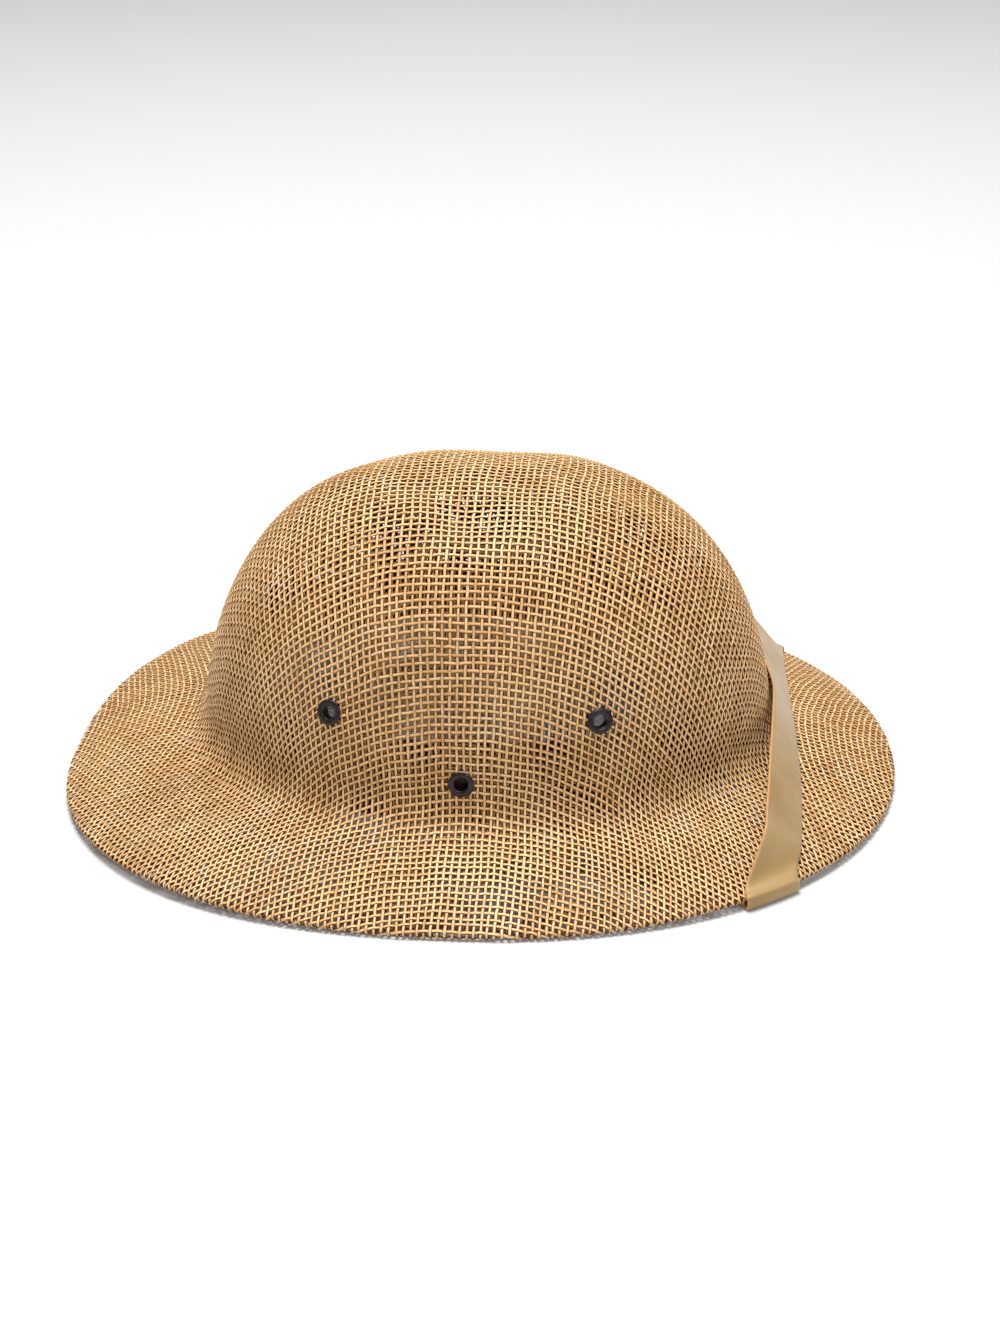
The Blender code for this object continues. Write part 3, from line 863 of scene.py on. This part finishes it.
def buildEyelets():
    for name, bearing, place in eyeletSeats():
        outside, inside = flangeLift(bearing, place)
        profile = eyeletProfile(outside, inside)
        seat = asMatrix(wallPoint(bearing, place), wallNormal(np.float64(bearing), place))
        rows = []
        for radius, height in profile:
            ring = []
            for step in range(eyelet["sides"]):
                angle = 2 * math.pi * step / eyelet["sides"]
                ring.append(seat @ Vector((radius * math.cos(angle), radius * math.sin(angle), height)))
            rows.append(ring)
        piece = makeGrid(name + "_enamelled", np.array(rows), True, True, enamelMaterial)
        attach(piece, "root")
        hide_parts(name)


buildEyelets()
print("eyelets set")


# Sweatband: split leather, drum-dyed dark brown, with a fine grain and a soft waxy sheen.
sweatband = {
    "height": 0.030,
    "thickness": 0.0012,
    "seatShare": 0.5,
    "turnShare": 0.4,
    "standShare": 0.8,
    "columns": 216,
    "rowsBetween": 4,
    "edgeRound": 0.12,  # of a row's step, past the last row
}
leather = {"light": "6B4430", "dark": "3B2218", "roughness": 0.5}


def makeLeather():
    material, shader = newMaterial("drum_dyed_leather")
    space = addNode(material, "ShaderNodeTexCoord")
    grain = addNode(material, "ShaderNodeTexVoronoi", {"Scale": 1100.0},
                    {"Vector": space.outputs["Object"]})
    tone = addNode(material, "ShaderNodeTexNoise", {"Scale": 60.0, "Detail": 4.0},
                   {"Vector": space.outputs["Object"]})
    colour = addRamp(material, tone.outputs["Fac"], (
        (0.35, linearColour(leather["dark"])),
        (0.70, linearColour(leather["light"])),
    ))
    bump = addNode(material, "ShaderNodeBump", {"Strength": 0.3, "Distance": 0.00012},
                   {"Height": grain.outputs["Distance"]})
    link(colour, shader.inputs["Base Color"])
    link(bump.outputs["Normal"], shader.inputs["Normal"])
    shader.inputs["Roughness"].default_value = leather["roughness"]
    return material


leatherMaterial = makeLeather()


def behindWall(bearing, place, depth):
    if 1.0 < place < 1.0 + sweatband["turnShare"]:
        turn = crownTurn(hatForm["junctionHeight"] + hatForm["flareRise"]) * place
        inward = np.array([np.cos(bearing), np.sin(bearing), 0.0])
        return crownPoint(np.float64(bearing), min(turn, math.pi / 2)) - inward * depth
    return wallPoint(bearing, place) - wallNormal(np.float64(bearing), place) * depth


def sweatbandSetback():
    low = [seat for seat in eyeletSeats() if seat[0].endswith("low")]
    lifts = [flangeLift(bearing, place)[1] for name, bearing, place in low]
    return hatForm["wall"] + max(lifts) + eyelet["flangeThickness"] + eyelet["clearance"]


bandSetback = sweatbandSetback()


def sweatbandRows():
    junction = hatForm["junctionHeight"]
    stand = eyelet["lowerHeight"] - eyelet["flange"] - eyelet["clearance"]
    stand = max(stand, junction + hatForm["flareRise"] * sweatband["standShare"])
    return (
        (placeAtHeight(junction + sweatband["height"]), bandSetback),
        (placeAtHeight((junction + sweatband["height"] + eyelet["lowerHeight"]) / 2), bandSetback),
        (placeAtHeight(eyelet["lowerHeight"]), bandSetback),
        (placeAtHeight(stand), bandSetback),
        (1.0 + sweatband["seatShare"], hatForm["wall"] + eyelet["clearance"]),
    )


def smoothRows(rows, parts):
    times = np.arange((len(rows) - 1) * parts + 1) / parts
    flat = rows.reshape(len(rows), -1)
    return readThread(flat, times).reshape(len(times), *rows.shape[1:])


def buildSweatband():
    bearings = 2 * np.pi * np.arange(sweatband["columns"]) / sweatband["columns"]
    rows = np.array([
        [behindWall(bearing, place, depth) for bearing in bearings] for place, depth in sweatbandRows()
    ])
    rows = smoothRows(rows, sweatband["rowsBetween"])
    down = np.gradient(rows, axis=0)
    around = np.roll(rows, -1, axis=1) - np.roll(rows, 1, axis=1)
    outward = unit(np.cross(down, around))
    inner = rows - outward * sweatband["thickness"]
    top = (rows[:1] + inner[:1]) / 2 - down[:1] * sweatband["edgeRound"]
    foot = (rows[-1:] + inner[-1:]) / 2 + down[-1:] * sweatband["edgeRound"]
    loop = np.concatenate([top, rows, foot, inner[::-1]])
    piece = makeGrid("sweatband_leather", loop, True, True, leatherMaterial)
    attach(piece, "root")
    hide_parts("sweatband")


buildSweatband()
print("sweatband set")


# Chin strap: khaki satin ribbon, doubled and pressed, with a woven edge. It shines softly along its
# length, shows fine ribs across and has a paler, warmer stripe along the edge towards the crown, painted
# light for that raised edge's lit side.
strap = {
    "width": 0.019,
    "thickness": 0.0009,
    "standoff": 0.0095,
    "skew": 0.0015,  # forward of its middle on the right, back on the left
    "skewShape": 2.6,  # makes the curve's greatest value 1
    "crossing": 0.124,
    "tail": 0.022,
    "flat": 0.006,
    "anchorDegrees": 69.5,
    "leanRows": (
        # share of the way from the front to the brim's edge, lean from upright in degrees
        (0.00, 28.0), (0.15, 31.0), (0.32, 36.0), (0.50, 41.0),
        (0.65, 44.0), (0.77, 46.0), (0.87, 48.0),
    ),
    "hiddenRows": (0.12, 0.30, 0.50, 0.70, 0.88),
    "clearance": 0.0005,
    "columns": 4,
    "partsAcross": 4,
    "partsAlong": 6,
    "edgeEase": (0.55, 0.97),  # of the thickness, at the edge and next to it
}
# The edge colour is painted light along the edge towards the crown.
satin = {"light": "B19262", "middle": "A48552", "dark": "967643", "edge": "C7935C"}
satin.update({"litEdgeFrom": 0.35, "litEdgeTo": 0.95, "roughness": 0.46})  # the edge in millimetres of width


def makeSatin():
    material, shader = newMaterial("woven_khaki_satin")
    ribbon = addNode(material, "ShaderNodeUVMap", {"uv_map": "ribbon"})
    parts = addNode(material, "ShaderNodeSeparateXYZ", links={"Vector": ribbon.outputs["UV"]})
    # Weft ribs 0.45 mm apart, drawn a little coarser than real satin so that they show.
    weft = addNode(material, "ShaderNodeTexWave", {
        "wave_type": "BANDS", "bands_direction": "X", "Scale": 0.36, "Distortion": 0.6, "Detail": 1.0,
    }, {"Vector": ribbon.outputs["UV"]})
    tone = addNode(material, "ShaderNodeTexNoise", {"Scale": 0.035, "Detail": 3.0},
                   {"Vector": ribbon.outputs["UV"]})
    colour = addRamp(material, tone.outputs["Fac"], (
        (0.30, linearColour(satin["dark"])),
        (0.50, linearColour(satin["middle"])),
        (0.70, linearColour(satin["light"])),
    ))
    # Painted light: the edge towards the crown is paler and warmer, for its lit side face, and this
    # fades out within the first millimetre of width.
    litEdgeMask = addNode(material, "ShaderNodeMapRange", {
        "interpolation_type": "SMOOTHSTEP", "To Min": 1.0, "To Max": 0.0,
        "From Min": satin["litEdgeFrom"], "From Max": satin["litEdgeTo"],
    }, {"Value": parts.outputs["Y"]})
    litEdgeMixed = addNode(material, "ShaderNodeMix", {"data_type": "RGBA"})
    link(litEdgeMask.outputs["Result"], litEdgeMixed.inputs["Factor"])
    link(colour, litEdgeMixed.inputs[6])
    litEdgeMixed.inputs[7].default_value = linearColour(satin["edge"])
    bump = addNode(material, "ShaderNodeBump", {"Strength": 0.16, "Distance": 0.00008},
                   {"Height": weft.outputs["Fac"]})
    link(litEdgeMixed.outputs[2], shader.inputs["Base Color"])
    link(bump.outputs["Normal"], shader.inputs["Normal"])
    shader.inputs["Roughness"].default_value = satin["roughness"]
    shader.inputs["Sheen Weight"].default_value = 0.25
    shader.inputs["Sheen Roughness"].default_value = 0.4
    return material


satinMaterial = makeSatin()


def placeAtRadius(bearing, radius):
    low, high = 0.0, 3.0
    for _ in range(40):
        middle = (low + high) / 2
        if np.hypot(*wallPoint(bearing, middle)[:2]) < radius:
            low = middle
        else:
            high = middle
    return (low + high) / 2


def surfaceHeight(point):
    bearing = math.atan2(point[1], point[0])
    return wallPoint(bearing, placeAtRadius(bearing, math.hypot(point[0], point[1])))[2]


def undersideHeight(point):
    bearing = math.atan2(point[1], point[0])
    radius = math.hypot(point[0], point[1])
    footPlace, footDepth = sweatbandRows()[-1]
    foot = behindWall(bearing, footPlace, footDepth + sweatband["thickness"])[2]
    if radius < crownRadius(np.float64(bearing)) + hatForm["flareReach"]:
        return foot
    place = placeAtRadius(bearing, radius)
    normal = wallNormal(np.float64(bearing), place)
    return min(foot, wallPoint(bearing, place)[2] - hatForm["wall"] / normal[2])


def edgeBearingAt(x):
    low, high = -math.pi / 2, 0.0
    for _ in range(40):
        middle = (low + high) / 2
        if brimRadius(np.float64(middle)) * math.cos(middle) < x:
            low = middle
        else:
            high = middle
    return (low + high) / 2


def edgeOutward(bearing):
    step = 0.001
    alongEdge = wallPoint(bearing + step, 3.0) - wallPoint(bearing - step, 3.0)
    return unit(np.array([alongEdge[1], -alongEdge[0], 0.0]))


strapOffset = strap["clearance"] + strap["thickness"] / 2
strapShares = [column / (strap["columns"] - 1) for column in range(strap["columns"])]


def strapCrossing(share):
    return edgeBearingAt(strap["crossing"] - strap["width"] * (1 - share))


def strapFrontRows(skew):
    front = hatForm["crownFront"] + strap["standoff"]
    outerEnd = wallPoint(strapCrossing(1.0), 3.0)
    innerEnd = wallPoint(strapCrossing(0.0), 3.0)
    rows = []
    for share, leanDegrees in strap["leanRows"]:
        lean = math.radians(leanDegrees)
        aslant = skew * strap["skewShape"] * share * (1 - share ** 2)
        forward = front + (strap["crossing"] - front) * share ** 3 + aslant
        foot = np.array([forward, outerEnd[1] * share, 0.0])
        foot[2] = surfaceHeight(foot) + strapOffset
        upper = foot + strap["width"] * np.array([-math.sin(lean), 0.0, math.cos(lean)])
        upper[1] += (innerEnd[1] - outerEnd[1]) * share ** 4
        rows.append([upper + (foot - upper) * column for column in strapShares])
    return rows


def strapWrapRows():
    crossings = [strapCrossing(share) for share in strapShares]
    flatRow = []
    for bearing in crossings:
        point = wallPoint(bearing, 3.0) + np.array([0.0, strap["flat"], 0.0])
        point[2] = surfaceHeight(point) + strapOffset
        flatRow.append(point)
    rows = [flatRow]
    for outward, level in (
        (0.0, hatForm["hemDepth"] + strapOffset * 1.2),
        (strapOffset, hatForm["hemDepth"] + strapOffset * 0.2),
        (strapOffset, 0.0),
        (strapOffset * 0.2, -strapOffset),
        (-hatForm["wall"] - strapOffset, -strapOffset),
    ):
        row = []
        for bearing in crossings:
            point = wallPoint(bearing, 3.0) + edgeOutward(bearing) * outward
            point[2] = edgeHeight(np.float64(bearing)) + level
            row.append(point)
        rows.append(row)
    return rows


def strapTailPlace(share, rise):
    footPlace, footDepth = sweatbandRows()[-1]
    anchor = -math.radians(strap["anchorDegrees"])
    halfAngle = strap["width"] / 2 / crownRadius(np.float64(anchor))
    bearing = anchor + (2 * share - 1) * halfAngle
    inner = sweatband["thickness"] + strapOffset
    level = behindWall(bearing, footPlace, footDepth + inner)[2] + rise
    lowest = hatForm["junctionHeight"] + hatForm["flareRise"]
    point = behindWall(bearing, placeAtHeight(max(level, lowest)), bandSetback + inner)
    point[2] = level
    return point


def strapHalfRows(skew):
    half = strapFrontRows(skew) + strapWrapRows()
    wrapEnd = half[-1]
    goal = [strapTailPlace(share, -2 * strapOffset) for share in strapShares]
    for share in strap["hiddenRows"]:
        row = []
        for start, end in zip(wrapEnd, goal):
            point = start + (end - start) * share
            point[2] = min(point[2], undersideHeight(point) - strapOffset)
            row.append(point)
        half.append(row)
    half.append(goal)
    for step in range(1, 4):
        half.append([strapTailPlace(share, strap["tail"] * step / 3) for share in strapShares])
    return np.array(half)


def strapRows():
    mirrored = strapHalfRows(-strap["skew"])[:0:-1]
    mirrored[..., 1] *= -1
    return np.concatenate([mirrored, strapHalfRows(strap["skew"])])


def buildStrap():
    rows = smoothRows(strapRows(), strap["partsAlong"])
    rows = smoothRows(rows.swapaxes(0, 1), strap["partsAcross"]).swapaxes(0, 1)
    along = np.gradient(rows, axis=0)
    across = np.gradient(rows, axis=1)
    facing = unit(np.cross(along, across))
    half = strap["thickness"] / 2
    columns = rows.shape[1]
    ease = np.ones(columns)
    ease[[0, -1]], ease[[1, -2]] = strap["edgeEase"]
    front = rows + facing * half * ease[None, :, None]
    back = rows - facing * half * ease[None, :, None]
    loop = np.concatenate([front, back[:, ::-1]], axis=1)
    rowCount, loopCount = loop.shape[:2]
    piece = makeGrid("chin_strap_satin", loop, False, True, satinMaterial)
    mesh = piece.data
    lengths = runLengths(rows[:, columns // 2]) * 1000
    shares = np.concatenate([np.linspace(0, 1, columns), np.linspace(1, 0, columns)])
    widths = shares * strap["width"] * 1000
    uv = mesh.uv_layers.new(name="ribbon")
    index = np.zeros(len(mesh.loops), dtype=np.int32)
    mesh.loops.foreach_get("vertex_index", index)
    pair = np.stack([lengths[index // loopCount], widths[index % loopCount]], axis=-1)
    uv.data.foreach_set("uv", pair.reshape(-1).astype(np.float32))
    builder = bmesh.new()
    builder.from_mesh(mesh)
    builder.verts.ensure_lookup_table()
    lastRow = (rowCount - 1) * loopCount
    builder.faces.new([builder.verts[k] for k in range(loopCount)])
    builder.faces.new([builder.verts[lastRow + k] for k in reversed(range(loopCount))])
    bmesh.ops.recalc_face_normals(builder, faces=builder.faces)
    builder.to_mesh(mesh)
    builder.free()
    mesh.shade_smooth()
    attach(piece, "root")
    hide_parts("chin_strap")


buildStrap()
print("strap set")


# Studio: a plain pale floor, one wide soft light overhead, a weak one in front and pale air.
studio = {
    "floorColour": "D6D6D7",
    "floorSize": 14.0,
    "lights": (
        # name, place, aim, size, watts
        ("overhead", (-0.10, 0.30, 2.2), (0.0, 0.0, 0.0), 1.0, 62.0),
        ("front", (1.1, -1.9, 1.5), (0.0, 0.0, 0.05), 1.0, 13.0),
    ),
    "air": "FFFFFF",
    "airStrength": 0.37,
}


def buildStudio():
    bpy.ops.mesh.primitive_plane_add(size=studio["floorSize"], location=(0, 0, 0))
    floor = bpy.context.object
    floor.name = "floor"
    material, shader = newMaterial("matte_white_board")
    shader.inputs["Base Color"].default_value = linearColour(studio["floorColour"])
    shader.inputs["Roughness"].default_value = 0.9
    shader.inputs["Specular IOR Level"].default_value = 0.2
    floor.data.materials.append(material)
    for name, place, aim, size, watts in studio["lights"]:
        light = bpy.data.lights.new(name, "AREA")
        light.energy = watts
        light.size = size
        holder = bpy.data.objects.new(name, light)
        holder.location = place
        holder.rotation_euler = (Vector(aim) - Vector(place)).to_track_quat("-Z", "Y").to_euler()
        bpy.context.scene.collection.objects.link(holder)
    world = bpy.data.worlds.new("studio_air")
    world.use_nodes = True
    background = world.node_tree.nodes["Background"]
    background.inputs["Color"].default_value = linearColour(studio["air"])
    background.inputs["Strength"].default_value = studio["airStrength"]
    bpy.context.scene.world = world
    bpy.context.scene.view_settings.view_transform = "Standard"  # plain white, as in a shop photo


buildStudio()


# Camera, a little above the hat's right side. It looks along +Y, turned by 5 degrees.
camera = {
    "azimuth": 5.1,
    "elevation": 24.6,
    "distance": 0.950,
    "target": (0.0, 0.0, 0.060),
    "focalPixels": 2395.0,
    "rollDegrees": -0.62,
    "aimRight": 0.00740,
    "aimDown": 0.01801,
    "imageHeight": 1333,
    "filmHeight": 36.0,
}


def buildCamera():
    azimuth = math.radians(camera["azimuth"])
    elevation = math.radians(camera["elevation"])
    back = Vector((
        math.sin(azimuth) * math.cos(elevation),
        -math.cos(azimuth) * math.cos(elevation),
        math.sin(elevation),
    ))
    right = Vector((math.cos(azimuth), math.sin(azimuth), 0))
    up = back.cross(right)
    roll = math.radians(camera["rollDegrees"])
    rolledRight = right * math.cos(roll) + up * math.sin(roll)
    rolledUp = up * math.cos(roll) - right * math.sin(roll)
    place = Vector(camera["target"]) + back * camera["distance"]
    aim = Vector(camera["target"]) + rolledRight * camera["aimRight"] - rolledUp * camera["aimDown"]
    back = (place - aim).normalized()
    rolledRight = rolledUp.cross(back).normalized()
    rolledUp = back.cross(rolledRight)
    lens = bpy.data.cameras.new("photo_camera")
    lens.sensor_fit = "VERTICAL"
    lens.sensor_height = camera["filmHeight"]
    lens.lens = camera["focalPixels"] / camera["imageHeight"] * camera["filmHeight"]
    lens.clip_start = 0.01
    holder = bpy.data.objects.new("photo_camera", lens)
    turn = Matrix((rolledRight, rolledUp, back)).transposed()
    holder.matrix_world = Matrix.Translation(place) @ turn.to_4x4()
    bpy.context.scene.collection.objects.link(holder)
    bpy.context.scene.camera = holder


buildCamera()
